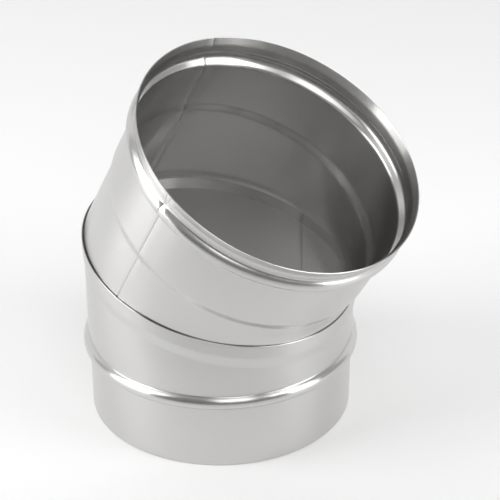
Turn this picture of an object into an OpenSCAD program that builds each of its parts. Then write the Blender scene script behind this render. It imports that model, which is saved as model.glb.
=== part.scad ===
// Stainless steel flue bend: two mitred segments of rolled sheet, joined under a swaged collar.
// The lower segment ends below in a plain spigot with a stop bead above it.
// The upper segment ends in a socket with a sealing bead and a flared lip.
// Sizes are in millimetres. The origin is the centre of the spigot's lower edge, +Z is up the
// lower pipe, and the upper pipe leans towards +X. Angles round a pipe start at the inside of
// the bend and grow towards +Y.

/* [Pipe] */
// Inside diameter of the plain pipe
pipe_id = 150; // [100:1:200]
// Thickness of the steel sheet
sheet = 0.6; // [0.4:0.05:0.8]
// Angle between the two pipe axes
bend_angle = 30; // [15:1:45]
// Plain pipe between the stop bead and the mitre, on the inside of the bend
lower_throat = 27.4; // [20:0.2:60]
// Plain pipe between the mitre and the socket's step, on the inside of the bend
upper_throat = 13.6; // [6:0.2:60]

/* [Spigot] */
// Length of the spigot's straight wall, up to its shoulder
spigot_length = 36.4; // [25:0.2:60]
// How far the spigot's radius is drawn in from the pipe's
spigot_draw = 0.7; // [0.4:0.05:1.5]
// Depth of the shallow shoulder above the spigot, at most the draw
shoulder_depth = 0.3; // [0.1:0.05:0.4]
// Height of the ramp up to the shoulder
shoulder_ramp = 1; // [0.8:0.1:1.5]
// Height from the end of the spigot's wall to the stop bead
shoulder_height = 3.4; // [2.5:0.1:8]

/* [Stop bead] */
// Height that the bead takes up along the pipe
stop_bead_width = 5.2; // [4.8:0.1:8]
// How far the bead stands out from the pipe
stop_bead_rise = 2.8; // [1.8:0.1:3.2]
// Radius at the bead's two feet
stop_bead_foot = 0.7; // [0.65:0.05:0.8]

/* [Socket] */
// How far the socket's radius is opened from the pipe's
socket_draw = 1.4; // [1:0.05:2.5]
// Height of the step between the pipe and the socket
socket_step = 3.2; // [2.5:0.1:6]
// Length of the socket's straight wall, from the step to the sealing bead
socket_length = 31.4; // [20:0.2:60]
// Radius where the step bends
step_bend = 2; // [1:0.1:3]

/* [Sealing bead] */
// Height of the flank below the bead's crest
seal_lower_flank = 3.2; // [2.8:0.1:5]
// Height of the bead's crest
seal_crest_width = 4.7; // [4.2:0.1:8]
// Height of the flank above the bead's crest
seal_upper_flank = 3.2; // [2.8:0.1:5]
// How far the bead stands out from the socket
seal_rise = 3.5; // [2.4:0.1:3.8]
// Radius at the bead's four bends
seal_bend = 1.4; // [1.1:0.1:1.6]

/* [Lip] */
// How far the neck between the bead and the lip stands out from the socket
neck_rise = 1.1; // [0:0.1:1.2]
// Height of the lip above the sealing bead
lip_height = 8.3; // [6:0.1:15]
// How far the lip flares out from the neck to its rim
lip_flare = 2.2; // [1:0.1:2.5]
// Radius of the curve into the lip
lip_bend = 6; // [4:0.5:8]

/* [Mitre joint] */
// Clearance between the collar and the skirt inside it
collar_gap = 0.3; // [0.2:0.05:0.6]
// Depth of the collar below the mitre, straight down
collar_depth = 7.6; // [7:0.1:9]
// Height of the swage that brings the collar in to the pipe
swage_height = 4.6; // [3.5:0.1:8]
// Depth of the upper segment's skirt inside the collar
skirt_depth = 6.6; // [4:0.1:6.8]
// How far the skirt is drawn in from the upper pipe
skirt_draw = 0.1; // [0.05:0.05:0.2]

/* [Lap seams] */
// Width of the strip inside the lower segment, where its sheet overlaps itself
lower_lap_width = 9; // [3:0.2:15]
// Place of the lower strip's middle, round the pipe
lower_lap_angle = 94.5; // [0:0.5:359]
// Width of the strips outside the upper segment
upper_lap_width = 3.2; // [2:0.1:8]
// Places of the upper strips' middles
upper_lap_angle = 265; // [0:0.5:359]
upper_lap_angle_2 = 165; // [0:0.5:359]
// How far a strip stands proud of the sheet
lap_rise = 0.35; // [0.2:0.05:0.5]

/* [Hidden] */

// Circles carry no facets of their own: this only smooths the preview
$fn = 180;
// Turn between two points of a profile's bends
bend_step = 15;

pipe_r = pipe_id / 2 + sheet;
spigot_r = pipe_r - spigot_draw;
shoulder_r = spigot_r + shoulder_depth;
socket_r = pipe_r + socket_draw;
neck_r = socket_r + neck_rise;

// The stop bead's crest is as round as its width and rise allow
stop_bead_crest = min(0.4 * stop_bead_width, stop_bead_rise - stop_bead_foot);
// Radius of the shoulder's two bends
shoulder_bend = 1;

// Heights up the lower pipe
stop_bead_z = spigot_length + shoulder_height;
stop_bead_top = stop_bead_z + stop_bead_width;
throat_rise = pipe_r * tan(bend_angle / 2);
mitre_z = stop_bead_top + lower_throat + throat_rise;

// Distances up the upper pipe, from where the two axes cross
step_s = throat_rise + upper_throat;
socket_s = step_s + socket_step;
seal_s = socket_s + socket_length;
crest_s = seal_s + seal_lower_flank;
crest_end_s = crest_s + seal_crest_width;
neck_s = crest_end_s + seal_upper_flank;
rim_s = neck_s + lip_height;

// Half-spaces reach well past the whole bend
reach = 4 * (rim_s + mitre_z + pipe_r);
// The collar's piece starts this far below its swage
collar_root = 1.5;

function unit(v) = v / norm(v);

// Points of the arc that rounds the corner at p between a and b
function corner(a, p, b, radius) =
    radius == 0 ? [p] :
    let (
        u = unit(a - p),
        w = unit(b - p),
        half = acos(u * w) / 2,
        centre = p + unit(u + w) * radius / sin(half),
        from = p + u * radius / tan(half) - centre,
        to = p + w * radius / tan(half) - centre,
        start = atan2(from[1], from[0]),
        turn = atan2(to[1], to[0]) - start,
        swing = turn > 180 ? turn - 360 : turn < -180 ? turn + 360 : turn,
        steps = max(2, ceil(abs(swing) / bend_step))
    )
    [for (i = [0 : steps]) centre + radius * [cos(start + swing * i / steps),
                                              sin(start + swing * i / steps)]];

// A profile of [radius, height, bend radius] points, with each bend rounded
function rounded(points) =
    let (p = [for (q = points) [q[0], q[1]]], last = len(points) - 1)
    concat([p[0]],
           [for (i = [1 : last - 1]) each corner(p[i - 1], p[i], p[i + 1], points[i][2])],
           [p[last]]);

// Outward normal of the stretch from p to q, for a profile that runs upwards
function outward(p, q) = let (d = unit(q - p)) [d[1], -d[0]];

// The profile moved outwards by a distance, with mitred corners
function shifted(path, distance) =
    let (last = len(path) - 1)
    [for (i = [0 : last])
        let (
            before = outward(path[max(i - 1, 0)], path[max(i, 1)]),
            after = outward(path[min(i, last - 1)], path[min(i + 1, last)])
        )
        path[i] + distance * (before + after) / (1 + before * after)];

function reversed(path) = [for (i = [len(path) - 1 : -1 : 0]) path[i]];

// Outline of a band that follows a profile, between two distances from it
function band(path, inner, outer) = concat(shifted(path, outer), reversed(shifted(path, inner)));

// Profiles of the sheet's outer face
lower_profile = rounded([
    [spigot_r, 0, 0],
    [spigot_r, spigot_length, shoulder_bend],
    [shoulder_r, spigot_length + shoulder_ramp, shoulder_bend],
    [shoulder_r, stop_bead_z, stop_bead_foot],
    [pipe_r + stop_bead_rise, stop_bead_z + stop_bead_foot / 2, stop_bead_crest],
    [pipe_r + stop_bead_rise, stop_bead_top - stop_bead_foot / 2, stop_bead_crest],
    [pipe_r, stop_bead_top, stop_bead_foot],
    [pipe_r, mitre_z + throat_rise, 0],
]);

collar_r = pipe_r + collar_gap + sheet;
collar_profile = rounded([
    [pipe_r, -collar_depth - swage_height - 2 * collar_root, 0],
    [pipe_r, -collar_depth - swage_height, step_bend],
    [collar_r, -collar_depth, step_bend],
    [collar_r, 0, 0],
]);

upper_profile = rounded([
    [pipe_r, -2 * throat_rise, 0],
    [pipe_r, step_s, step_bend],
    [socket_r, socket_s, step_bend],
    [socket_r, seal_s, seal_bend],
    [socket_r + seal_rise, crest_s, seal_bend],
    [socket_r + seal_rise, crest_end_s, seal_bend],
    [neck_r, neck_s, seal_bend],
    [neck_r + lip_flare / 4, neck_s + lip_height / 2, lip_bend],
    [neck_r + lip_flare, rim_s, 0],
]);

// The half-space below the mitre, from a plane this far straight down the lower pipe
module below_mitre(down = 0) {
    translate([0, 0, mitre_z - down])
        rotate([0, bend_angle / 2, 0])
            translate([-reach / 2, -reach / 2, -reach])
                cube(reach);
}

// Leans level rings round the lower pipe until they lie along the mitre
module along_mitre() {
    multmatrix([
        [1, 0, 0, 0],
        [0, 1, 0, 0],
        [-tan(bend_angle / 2), 0, 1, mitre_z],
        [0, 0, 0, 1],
    ])
        children();
}

module up_the_bend() {
    translate([0, 0, mitre_z])
        rotate([0, bend_angle, 0])
            children();
}

// A whole turn of the sheet along a profile
module sheet_turn(profile) {
    rotate_extrude()
        polygon(band(profile, -sheet, 0));
}

// The strip where the sheet overlaps itself, between two distances from the profile
module lap(profile, width, middle, inner, outer) {
    span = width / pipe_r * 180 / PI;
    rotate([0, 0, middle - span / 2])
        rotate_extrude(angle = span)
            polygon(band(profile, inner, outer));
}

module inside_lap(profile, width, middle) {
    lap(profile, width, middle, -sheet - lap_rise, -sheet / 2);
}

module outside_lap(profile, width, middle) {
    lap(profile, width, middle, -sheet / 2, lap_rise);
}

module spigot_segment() {
    pipe_end = collar_depth + swage_height + collar_root;
    color("gainsboro") {
        intersection() {
            union() {
                sheet_turn(lower_profile);
                inside_lap(lower_profile, lower_lap_width, lower_lap_angle);
            }
            below_mitre(pipe_end);
        }
        difference() {
            along_mitre()
                sheet_turn(collar_profile);
            below_mitre(pipe_end);
        }
    }
}

module socket_segment() {
    skirt_r = pipe_r - skirt_draw;
    color("lightgray") {
        difference() {
            up_the_bend() {
                sheet_turn(upper_profile);
                outside_lap(upper_profile, upper_lap_width, upper_lap_angle);
                outside_lap(upper_profile, upper_lap_width, upper_lap_angle_2);
            }
            below_mitre();
        }
        intersection() {
            difference() {
                cylinder(h = reach, r = skirt_r);
                cylinder(h = reach, r = skirt_r - sheet);
            }
            below_mitre();
            difference() {
                cylinder(h = reach, r = 2 * pipe_r);
                below_mitre(skirt_depth);
            }
        }
    }
}

spigot_segment();
socket_segment();
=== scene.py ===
"""Looks of a stainless steel flue bend: two rolled sheets with their lap seams, and a studio round them."""
import math

import bpy
import numpy as np
from mathutils import Matrix, Vector


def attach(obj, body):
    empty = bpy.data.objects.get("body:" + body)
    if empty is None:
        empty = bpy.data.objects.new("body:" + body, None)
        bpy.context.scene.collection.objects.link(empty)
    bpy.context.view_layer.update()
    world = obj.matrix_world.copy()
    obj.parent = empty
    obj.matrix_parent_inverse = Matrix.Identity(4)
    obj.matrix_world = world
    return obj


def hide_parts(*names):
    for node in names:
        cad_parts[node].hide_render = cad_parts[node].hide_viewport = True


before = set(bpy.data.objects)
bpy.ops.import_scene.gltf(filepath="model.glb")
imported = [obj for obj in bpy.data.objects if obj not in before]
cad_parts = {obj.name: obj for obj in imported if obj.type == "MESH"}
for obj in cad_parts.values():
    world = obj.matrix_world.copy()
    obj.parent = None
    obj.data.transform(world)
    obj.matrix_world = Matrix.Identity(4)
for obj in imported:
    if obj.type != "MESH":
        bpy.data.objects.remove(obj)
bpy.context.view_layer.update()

# Sizes in metres, angles in degrees. Angles round a pipe start at the inside of the bend and grow towards +Y.
MM = 0.001

# Pipe
SHEET = 0.6 * MM
PIPE_R = 75.6 * MM
BEND = math.radians(30)
MITRE_Z = 92.657 * MM
THROAT_RISE = PIPE_R * math.tan(BEND / 2)

# Spigot and stop bead, up the lower pipe
SPIGOT_R = 74.9 * MM
SPIGOT_TOP = 36.8 * MM
STOP_BEAD_LOW = 38.4 * MM
STOP_BEAD_HIGH = 43.6 * MM
STOP_BEAD_TOP = 45 * MM
STOP_BEAD_R = 78.39 * MM
STOP_BEAD_FOOT = 0.8 * MM
STOP_BEAD_CREST = 3.95 * MM

# Collar and skirt, measured down from the mitre
COLLAR_GAP = 0.3 * MM
COLLAR_DEPTH = 7.6 * MM
SWAGE_DEPTH = 13.8 * MM
SKIRT_DEPTH = 6.6 * MM
SKIRT_R = 75.5 * MM

# Socket, sealing bead and lip, up the upper pipe from where the two axes cross
SOCKET_R = 77 * MM
STEP_S = 33.2 * MM
SOCKET_S = 37.8 * MM
SEAL_S = 69.257 * MM
CREST_S = 72.157 * MM
CREST_END_S = 76.857 * MM
CREST_R = 80.47 * MM
NECK_S = 78.857 * MM
NECK_R = 78.1 * MM
RIM_S = 87.857 * MM
RIM_R = 80.3 * MM
STEP_BEND = 2 * MM
SOCKET_BEND = 5 * MM
SEAL_FOOT_BEND = 2.5 * MM
SEAL_CREST_BEND = 4.2 * MM
SEAL_NECK_BEND = 1.8 * MM
LIP_BEND = 6 * MM

# Plain pipe drawn on from the stop bead, from the swage and from the step
STOP_BEAD_RUN = 4 * MM
SWAGE_RUN = 3 * MM
STEP_RUN = 6 * MM

# Mesh
COLUMNS = 288
BEND_STEP = math.radians(9)
EDGE_BEVEL = 0.12 * MM
EDGE_FULLNESS = 0.2
SUPPORT = 0.35 * MM
LONG_SPAN = 4 * SUPPORT


def unit(v):
    return v / np.linalg.norm(v)


def corner(before, at, after, radius):
    """Points of the arc that rounds the corner between two straight runs."""
    u, w = unit(before - at), unit(after - at)
    half = math.acos(np.clip(u @ w, -1, 1)) / 2
    reach = radius / math.tan(half)
    centre = at + unit(u + w) * radius / math.sin(half)
    first, last = at + u * reach - centre, at + w * reach - centre
    start = math.atan2(first[1], first[0])
    swing = (math.atan2(last[1], last[0]) - start + math.pi) % (2 * math.pi) - math.pi
    steps = max(2, math.ceil(abs(swing) / BEND_STEP))
    angles = [start + swing * i / steps for i in range(steps + 1)]
    return [centre + radius * np.array([math.cos(angle), math.sin(angle)]) for angle in angles]


def rounded(points):
    """A profile of (radius, height, bend radius) points, with rounded bends and supports on long spans."""
    places = [np.array(p[:2], float) for p in points]
    path = [places[0]]
    for i in range(1, len(points) - 1):
        path += corner(places[i - 1], places[i], places[i + 1], points[i][2])
    path.append(places[-1])
    supported = [path[0]]
    for a, b in zip(path, path[1:]):
        length = np.linalg.norm(b - a)
        if length > LONG_SPAN:
            supported += [a + (b - a) * SUPPORT / length, b - (b - a) * SUPPORT / length]
        supported.append(b)
    return np.array(supported)


def normals(path):
    """Outward normals of a profile that runs upwards."""
    d = np.diff(path, axis=0)
    d /= np.linalg.norm(d, axis=1)[:, None]
    n = np.stack([d[:, 1], -d[:, 0]], 1)
    before, after = np.vstack([n[:1], n]), np.vstack([n, n[-1:]])
    return (before + after) / (1 + (before * after).sum(1))[:, None]


LOWER_PROFILE = rounded([
    (SPIGOT_R, 0, 0),
    (SPIGOT_R, SPIGOT_TOP, STOP_BEAD_FOOT),
    (STOP_BEAD_R, STOP_BEAD_LOW, STOP_BEAD_CREST),
    (STOP_BEAD_R, STOP_BEAD_HIGH, STOP_BEAD_CREST),
    (PIPE_R, STOP_BEAD_TOP, STOP_BEAD_FOOT),
    (PIPE_R, STOP_BEAD_TOP + STOP_BEAD_RUN, 0),
])
COLLAR_R = PIPE_R + COLLAR_GAP + SHEET
COLLAR_PROFILE = rounded([
    (PIPE_R, -SWAGE_DEPTH - SWAGE_RUN, 0),
    (PIPE_R, -SWAGE_DEPTH, STEP_BEND),
    (COLLAR_R, -COLLAR_DEPTH, STEP_BEND),
    (COLLAR_R, 0, 0),
])
SKIRT_PROFILE = np.array([(SKIRT_R, -SKIRT_DEPTH), (SKIRT_R, -SKIRT_DEPTH / 2), (SKIRT_R, -SUPPORT)])
UPPER_PROFILE = rounded([
    (PIPE_R, STEP_S - STEP_RUN, 0),
    (PIPE_R, STEP_S, SOCKET_BEND),
    (SOCKET_R, SOCKET_S, SOCKET_BEND),
    (SOCKET_R, SEAL_S, SEAL_FOOT_BEND),
    (CREST_R, CREST_S, SEAL_CREST_BEND),
    (CREST_R, CREST_END_S, SEAL_CREST_BEND),
    (NECK_R, NECK_S, SEAL_NECK_BEND),
    (NECK_R + (RIM_R - NECK_R) / 4, (NECK_S + RIM_S) / 2, LIP_BEND),
    (RIM_R, RIM_S, 0),
])


def lower_place(r, z, turn):
    return np.stack([r * np.cos(turn), r * np.sin(turn), z + 0 * turn], -1)


def mitre_place(r, rise, turn):
    """A ring parallel to the mitre, at a rise above it straight up the lower pipe."""
    return lower_place(r, MITRE_Z + rise - r * np.cos(turn) * math.tan(BEND / 2), turn)


def upper_place(r, s, turn):
    x, z = r * np.cos(turn), s + 0 * turn
    return np.stack([x * math.cos(BEND) + z * math.sin(BEND), r * np.sin(turn),
                     MITRE_Z + z * math.cos(BEND) - x * math.sin(BEND)], -1)


class Seam:
    """A line where a sheet's edge shows: its angle, and its cross-section as (around, out) pairs."""

    def __init__(self, angle, section):
        self.angle = math.radians(angle)
        self.section = np.array(section) * MM

    def around(self, turn):
        """Arc length from the seam."""
        return ((turn - self.angle + math.pi) % (2 * math.pi) - math.pi) * PIPE_R

    def out(self, turn):
        return np.interp(self.around(turn), self.section[:, 0], self.section[:, 1])


def column_turns(seams):
    """Angles of a lathe's columns: even ones, with each seam's own ones in place of those near it."""
    turns = np.arange(COLUMNS) * 2 * math.pi / COLUMNS
    own = []
    for seam in seams:
        span = seam.section[:, 0]
        turns = turns[(seam.around(turns) < span[0] - SUPPORT) | (seam.around(turns) > span[-1] + SUPPORT)]
        own.append((seam.angle + span / PIPE_R) % (2 * math.pi))
    return np.sort(np.concatenate([turns] + own))


def lengths_up(grid):
    """Length up the sheet's section to each ring, taken from the rings' centres and mean radii."""
    centres = grid.mean(1)
    radii = np.linalg.norm(grid - centres[:, None], axis=2).mean(1)
    steps = np.linalg.norm(np.diff(centres, axis=0), axis=1) + np.abs(np.diff(radii))
    return np.concatenate([[0], np.cumsum(steps)])


def lathe(name, outer, inner, outer_seams, inner_seams):
    """A closed sheet of rings. Each face is a list of (place, profile, normals) runs, from foot to rim."""
    turns = column_turns(outer_seams + inner_seams)
    rings = []
    for runs, seams, step in ((outer, outer_seams, 1), (inner[::-1], inner_seams, -1)):
        out = sum((seam.out(turns) for seam in seams), np.zeros_like(turns))
        for place, path, normal in runs:
            for at, away in zip(path[::step], normal[::step]):
                rings.append(place(at[0] + away[0] * out, at[1] + away[1] * out, turns))
    grid = np.array(rings)
    rows, columns = grid.shape[:2]
    row, column = (index.reshape(-1) for index in np.indices((rows, columns)))
    above, after = (row + 1) % rows * columns, (column + 1) % columns
    faces = np.stack([row * columns + column, row * columns + after, above + after, above + column], -1)
    mesh = bpy.data.meshes.new(name)
    mesh.from_pydata(grid.reshape(-1, 3).tolist(), [], faces.tolist())
    mesh.polygons.foreach_set("use_smooth", [True] * len(mesh.polygons))

    along = lengths_up(grid)
    along = np.append(along, along[-1] + SHEET)
    around = np.append(turns, turns[0] + 2 * math.pi) * PIPE_R
    u = np.stack([around[column], around[column + 1], around[column + 1], around[column]], 1)
    v = np.stack([along[row], along[row], along[row + 1], along[row + 1]], 1)
    mesh.uv_layers.new(name="sheet").data.foreach_set("uv", np.stack([u, v], -1).reshape(-1))
    obj = bpy.data.objects.new(name, mesh)
    bpy.context.scene.collection.objects.link(obj)
    return obj


def sheet_face(runs, distance):
    """Runs of one face of the sheet, at a distance inwards from the outer profile."""
    face = []
    for place, profile in runs:
        normal = normals(profile)
        face.append([place, profile - normal * distance, normal])
    return face


def edge_bevels(outer, inner):
    """Draws the four corners of the sheet's two edges in, so that each edge is a small round."""
    for end, step in ((0, 1), (-1, -1)):
        for face, towards in ((outer, inner), (inner, outer)):
            place, path, normal = face[end]
            tip = path[end]
            along = unit(path[end] - path[end + step])
            across = unit(towards[end][1][end] - tip)
            first = tip - along * EDGE_BEVEL
            second = tip + across * EDGE_BEVEL
            middle = (first + second) / 2 + (along - across) * EDGE_BEVEL * EDGE_FULLNESS
            ends = [first, middle, second]
            if end == 0:
                face[0] = [place, np.vstack([ends[::-1], path[1:]]), np.vstack([[normal[0]] * 3, normal[1:]])]
            else:
                face[-1] = [place, np.vstack([path[:-1], ends]), np.vstack([normal[:-1], [normal[-1]] * 3])]
    return outer, inner


def sheet_mesh(name, runs, outer_seams, inner_seams):
    outer, inner = edge_bevels(sheet_face(runs, 0), sheet_face(runs, SHEET))
    return lathe(name, outer, inner, outer_seams, inner_seams)


# The lapped edge: a narrow groove beside a low step, in millimetres round the pipe and outwards
LAP = [(-3, 0), (-0.5, 0), (-0.32, -0.03), (-0.2, -0.3),
       (0.2, -0.3), (0.32, 0.1), (0.5, 0.15), (4, 0.12), (12, 0)]
LOWER_SEAM = 91
UPPER_SEAM_OUTSIDE = 265.6
UPPER_SEAM_INSIDE = 163.8

spigot_sheet = sheet_mesh("spigot_sheet", [(lower_place, LOWER_PROFILE), (mitre_place, COLLAR_PROFILE)],
                          [], [Seam(LOWER_SEAM, LAP)])
socket_sheet = sheet_mesh("socket_sheet", [(mitre_place, SKIRT_PROFILE), (upper_place, UPPER_PROFILE)],
                          [Seam(UPPER_SEAM_OUTSIDE, LAP)], [Seam(UPPER_SEAM_INSIDE, LAP)])


def brushed_steel():
    """Steel of one colour, with a gloss whose direction follows the sheet's UV map."""
    material = bpy.data.materials.new("brushed_stainless")
    material.use_nodes = True
    tree = material.node_tree
    shader = tree.nodes["Principled BSDF"]
    shader.inputs["Base Color"].default_value = (0.63, 0.625, 0.615, 1)
    shader.inputs["Metallic"].default_value = 1
    shader.inputs["Roughness"].default_value = 0.25
    shader.inputs["Anisotropic"].default_value = 0.8
    shader.inputs["Anisotropic Rotation"].default_value = 0.25
    tangent = tree.nodes.new("ShaderNodeTangent")
    tangent.direction_type = "UV_MAP"
    tangent.uv_map = "sheet"
    tree.links.new(tangent.outputs[0], shader.inputs["Tangent"])
    return material


STEEL = brushed_steel()
for piece, node in ((spigot_sheet, "spigot_segment"), (socket_sheet, "socket_segment")):
    piece.data.materials.append(STEEL)
    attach(piece, "root")
    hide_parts(node)

# Camera: the photograph's view, with angles in degrees
LENS = 113.88
SENSOR_WIDTH = 36
CAMERA_BEARING = math.radians(47.63)
CAMERA_ELEVATION = math.radians(29.80)
CAMERA_DISTANCE = 11.83 * PIPE_R
AIM_HEIGHT = PIPE_R
YAW = math.radians(1.091)
PITCH = math.radians(0.970)
ROLL = math.radians(-0.621)


def photo_camera():
    """Looks at a point on the lower pipe's axis, then turned a little, as the photograph was taken."""
    camera = bpy.data.cameras.new("camera")
    camera.sensor_width = SENSOR_WIDTH
    camera.lens = LENS
    obj = bpy.data.objects.new("camera", camera)
    bpy.context.scene.collection.objects.link(obj)
    bpy.context.scene.camera = obj
    right = Vector((math.sin(CAMERA_BEARING), math.cos(CAMERA_BEARING), 0))
    ahead = Vector((-math.cos(CAMERA_BEARING), math.sin(CAMERA_BEARING), 0))
    back = -ahead * math.cos(CAMERA_ELEVATION) + Vector((0, 0, math.sin(CAMERA_ELEVATION)))
    up = back.cross(right)
    place = Vector((0, 0, AIM_HEIGHT)) + back * CAMERA_DISTANCE
    axes = Matrix((right, up, back)).transposed()
    turn = Matrix.Rotation(-YAW, 3, "Y") @ Matrix.Rotation(PITCH, 3, "X") @ Matrix.Rotation(ROLL, 3, "Z")
    obj.matrix_world = Matrix.Translation(place) @ (axes @ turn).to_4x4()


photo_camera()

# Studio. Bearings are seen from the object: 0 is away from the camera, and 90 is to the picture's right.
CARD_RADIUS = 1.8
CARD_HEIGHT = 0.1
CARD_COLUMNS = 13
CARD_ROWS = 7
WHITE = 0.93
FLOOR_SIZE = 6
FLOOR_GAP = 0.0002


def heading(bearing):
    """Angle in the floor's plane of a bearing, from +X towards +Y."""
    return math.pi - CAMERA_BEARING - math.radians(bearing)


def glow(name, shade):
    material = bpy.data.materials.new(name)
    material.use_nodes = True
    tree = material.node_tree
    tree.nodes.clear()
    emission = tree.nodes.new("ShaderNodeEmission")
    emission.inputs["Color"].default_value = (shade, shade, shade, 1)
    output = tree.nodes.new("ShaderNodeOutputMaterial")
    tree.links.new(emission.outputs[0], output.inputs["Surface"])
    return material


def card(name, bearings, elevations, shade, radius=CARD_RADIUS):
    """A card that bends round the object, out of the picture, for the metal to reflect."""
    mesh = bpy.data.meshes.new(name)
    across = np.linspace(heading(bearings[0]), heading(bearings[1]), CARD_COLUMNS)
    up = np.radians(np.linspace(elevations[0], elevations[1], CARD_ROWS))
    places = [(radius * math.cos(e) * math.cos(a), radius * math.cos(e) * math.sin(a),
               CARD_HEIGHT + radius * math.sin(e)) for e in up for a in across]
    starts = [i * CARD_COLUMNS + j for i in range(CARD_ROWS - 1) for j in range(CARD_COLUMNS - 1)]
    faces = [(k, k + 1, k + CARD_COLUMNS + 1, k + CARD_COLUMNS) for k in starts]
    mesh.from_pydata(places, [], faces)
    obj = bpy.data.objects.new(name, mesh)
    bpy.context.scene.collection.objects.link(obj)
    obj.visible_camera = False
    mesh.materials.append(glow(name, shade))


def softbox(name, bearing, elevation, width, height, distance, radiance):
    """An area lamp that faces the object, out of the picture."""
    data = bpy.data.lights.new(name, "AREA")
    data.shape = "RECTANGLE"
    data.size, data.size_y = width, height
    data.energy = radiance * math.pi * width * height
    obj = bpy.data.objects.new(name, data)
    bpy.context.scene.collection.objects.link(obj)
    a, e = heading(bearing), math.radians(elevation)
    towards = Vector((math.cos(e) * math.cos(a), math.cos(e) * math.sin(a), math.sin(e)))
    facing = towards.to_track_quat("Z", "Y").to_matrix().to_4x4()
    obj.matrix_world = Matrix.Translation(towards * distance + Vector((0, 0, CARD_HEIGHT))) @ facing
    obj.visible_camera = False


scene = bpy.context.scene
scene.view_settings.view_transform = "Standard"
world = bpy.data.worlds.new("studio")
scene.world = world
world.use_nodes = True
world.node_tree.nodes["Background"].inputs["Color"].default_value = (WHITE, WHITE, WHITE, 1)

bpy.ops.mesh.primitive_plane_add(size=FLOOR_SIZE, location=(0, 0, -FLOOR_GAP))
floor = bpy.context.object
floor.name = "floor"
white = bpy.data.materials.new("white_floor")
white.use_nodes = True
matt = white.node_tree.nodes["Principled BSDF"].inputs
matt["Base Color"].default_value = (WHITE, WHITE, WHITE, 1)
matt["Roughness"].default_value = 1
matt["Specular IOR Level"].default_value = 0
floor.data.materials.append(white)

# Cards: bearings and elevations in degrees, shade, and radius in metres where it differs
card("curtain", (130, 232), (-14, 22), 0.2, 0.42)
card("dark_left", (181, 232), (22, 75), 0.28)
card("dark_right", (136, 155), (15, 62), 0.4)
card("gap_right", (64, 100), (-3, 50), 0.45)
card("gap_left", (-86, -62), (-3, 60), 0.55)
card("ceiling_back", (-40, 100), (38, 62), 0.4)
card("ceiling", (-180, 180), (66, 90), 0.5)
# Softboxes: bearing, elevation, width, height, distance and radiance
softbox("softbox_left", -106, 25, 0.8, 1.2, 1.2, 3)
softbox("softbox_right", 119, 22, 0.75, 1.0, 1.2, 3)
softbox("softbox_top", 168, 48, 0.6, 0.95, 1.3, 1.4)
